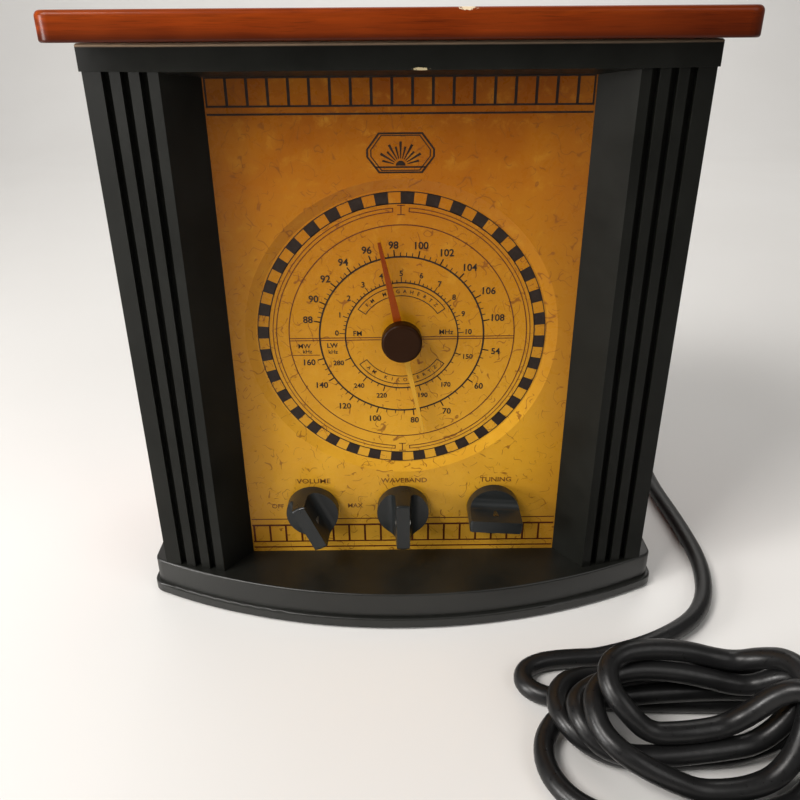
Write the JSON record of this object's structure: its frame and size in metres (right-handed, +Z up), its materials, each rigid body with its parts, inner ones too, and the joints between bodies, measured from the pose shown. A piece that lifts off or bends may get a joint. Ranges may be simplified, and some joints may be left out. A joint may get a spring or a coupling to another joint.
{
  "type": "tabletop radio",
  "caption": "Tabletop radio: wooden cabinet, black front frame and bow-front plinth, parchment dial with a turning needle, bar knobs and a mains cord.",
  "frame": {"origin": "on the table, under the middle of the radio's own box, without its mains cord", "axes": "+X to the right of someone facing the dial, +Y to the back, +Z up"},
  "size_m": [0.2596, 0.3369, 0.217],
  "materials": {
    "top_wood": "glossy red-brown stained veneer, lacquered",
    "side_wood": "satin red-brown stained veneer",
    "softwood": "planed softwood",
    "black_plastic": "satin black moulded plastic",
    "knob_plastic": "semi-gloss black moulded plastic",
    "cover_plastic": "textured black moulded plastic",
    "dial_print": "glossy printed aged-parchment sheet",
    "needle_amber": "translucent amber",
    "needle_cream": "pale cream",
    "hub_brown": "dark brown, satin",
    "plated_steel": "zinc plated",
    "black_steel": "black oxide screws",
    "brass": "bright brass",
    "aluminium": "drawn, bare",
    "grey_board": "plain moulded board",
    "white_nylon": "natural nylon",
    "pcb": "brown phenolic circuit board",
    "component_black": "moulded epoxy",
    "capacitor_sleeve": "shrunk sleeve, dark blue",
    "resistor": "lacquered",
    "ferrite": "sintered ferrite",
    "lamination": "varnished laminations",
    "winding_tape": "yellow insulating tape",
    "copper_coil": "enamelled copper on a paper former",
    "basket": "black pressed steel",
    "paper_cone": "felted paper",
    "foam": "foam ring",
    "acoustic_cloth": "black open weave",
    "string": "waxed cord",
    "rubber": "matt black rubber",
    "cord_jacket": "smooth black flexible PVC",
    "wire_red": "insulated hook-up wire"
  },
  "bodies": {
    "cabinet": {"base_plinth": "black_plastic", "bottom_plate": "cover_plastic", "base_screws": "black_steel", "rubber_feet": "rubber", "side_panel_left": "side_wood", "side_panel_right": "side_wood", "top_board": "top_wood", "corner_battens": "softwood", "front_frame": "black_plastic", "dial_panel": "dial_print", "chassis_plate": "grey_board", "chassis_screws": "plated_steel", "dial_cord": "string", "gang_bracket": "plated_steel", "tuning_gang": "white_nylon", "volume_pot": "plated_steel", "band_switch": "plated_steel", "tuning_bushing": "brass", "control_nuts": "plated_steel", "main_pcb": "pcb", "pcb_standoffs": "white_nylon", "if_cans": "aluminium", "electrolytic_capacitors": "capacitor_sleeve", "audio_ic": "component_black", "ic_heatsink": "aluminium", "film_resistors": "resistor", "transformer_core": "lamination", "transformer_winding": "winding_tape", "transformer_bracket": "plated_steel", "transformer_screws": "plated_steel", "ferrite_rod": "ferrite", "aerial_coil_mw": "copper_coil", "aerial_coil_lw": "copper_coil", "rod_holders": "white_nylon", "speaker_gasket": "foam", "speaker_basket": "basket", "speaker_magnet": "ferrite", "speaker_cone": "paper_cone", "speaker_screws": "plated_steel", "grille_cloth": "acoustic_cloth", "rear_cover": "cover_plastic", "rear_cover_screws": "black_steel", "strain_relief": "rubber", "mains_cord": "cord_jacket", "mains_cord_coil": "cord_jacket", "mains_plug": "rubber", "plug_pins": "plated_steel", "speaker_leads": "wire_red", "power_leads": "wire_red"},
    "pointer": {"pointer_upper": "needle_amber", "pointer_lower": "needle_cream", "pointer_hub": "hub_brown", "pointer_shaft": "plated_steel", "dial_drum": "white_nylon"},
    "volume_knob": {"volume_knob": "knob_plastic", "volume_shaft": "plated_steel"},
    "band_knob": {"band_knob": "knob_plastic", "band_shaft": "plated_steel"},
    "tuning_knob": {"tuning_knob": "knob_plastic", "tuning_spindle": "brass"}
  },
  "joints": [
    {"name": "needle_turn", "type": "hinge", "parent": "cabinet", "child": "pointer", "pos_m": [0, -0.0349, 0.1103], "axis": [0, 1, 0], "range_deg": [-78, 102]},
    {"name": "volume_turn", "type": "hinge", "parent": "cabinet", "child": "volume_knob", "pos_m": [-0.036, -0.0349, 0.0378], "axis": [0, 1, 0], "range_deg": [-126, 174]},
    {"name": "band_turn", "type": "hinge", "parent": "cabinet", "child": "band_knob", "pos_m": [0, -0.0349, 0.0378], "axis": [0, 1, 0], "range_deg": [-30, 30]},
    {"name": "tuning_turn", "type": "hinge", "parent": "cabinet", "child": "tuning_knob", "pos_m": [0.036, -0.0349, 0.0378], "axis": [0, 1, 0], "range_deg": [-570, 746]}
  ],
  "couplings": [
    {"joint": "needle_turn", "follows": "tuning_turn", "ratio": 0.13636}
  ]
}
